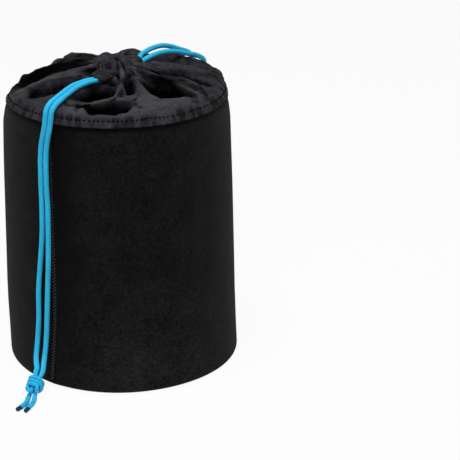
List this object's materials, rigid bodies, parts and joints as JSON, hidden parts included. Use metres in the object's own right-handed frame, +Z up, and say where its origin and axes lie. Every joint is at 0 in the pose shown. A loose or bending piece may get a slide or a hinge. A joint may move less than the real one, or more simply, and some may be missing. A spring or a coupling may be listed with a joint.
{
  "type": "lens pouch",
  "caption": "Soft round neoprene pouch with a gathered nylon closure, drawn shut by cords that end in overhand knots.",
  "frame": {"origin": "on the floor under the middle of the base", "axes": "+Z up along the pouch, -Y towards the front, +X to the right as seen from the front"},
  "size_m": [0.1332, 0.1607, 0.1704],
  "materials": {
    "knit": "matte knit face of neoprene",
    "plush": "matte plush",
    "nylon": "soft sheen",
    "thread": "satin thread",
    "cord": "braided, satin"
  },
  "bodies": {
    "pouch": {"wall_panel": "knit", "wall_lining": "plush", "base_disc": "knit", "base_lining": "plush", "base_binding": "nylon", "side_seam": "thread", "skirt_hem": "nylon", "closure_skirt": "nylon"},
    "mouth": {"drawstring_casing": "nylon", "front_cord_loop": "cord", "front_cord_right_run": "cord", "front_cord_left_run": "cord", "rear_cord_loop": "cord", "rear_cord_right_run": "cord", "rear_cord_left_run": "cord"},
    "front_cord_end": {"front_cord_right_drop": "cord", "front_cord_right_knot": "cord", "front_cord_right_tail": "cord", "front_cord_left_drop": "cord", "front_cord_left_knot": "cord", "front_cord_left_tail": "cord"},
    "rear_cord_end": {"rear_cord_right_drop": "cord", "rear_cord_right_knot": "cord", "rear_cord_right_tail": "cord", "rear_cord_left_drop": "cord", "rear_cord_left_knot": "cord", "rear_cord_left_tail": "cord"}
  },
  "joints": [
    {"name": "mouth_rise", "type": "slide", "parent": "pouch", "child": "mouth", "axis": [0, 0, 1], "range_m": [0, 0.025], "deforming": ["closure_skirt"]},
    {"name": "front_cord_swing", "type": "hinge", "parent": "mouth", "child": "front_cord_end", "pos_m": [-0.0367, -0.0554, 0.15385], "axis": [-0.8339, 0.5519, 0], "range_deg": [0, 90]},
    {"name": "rear_cord_swing", "type": "hinge", "parent": "mouth", "child": "rear_cord_end", "pos_m": [0.0489, 0.0451, 0.15385], "axis": [0.678, -0.735, 0], "range_deg": [0, 90]}
  ]
}
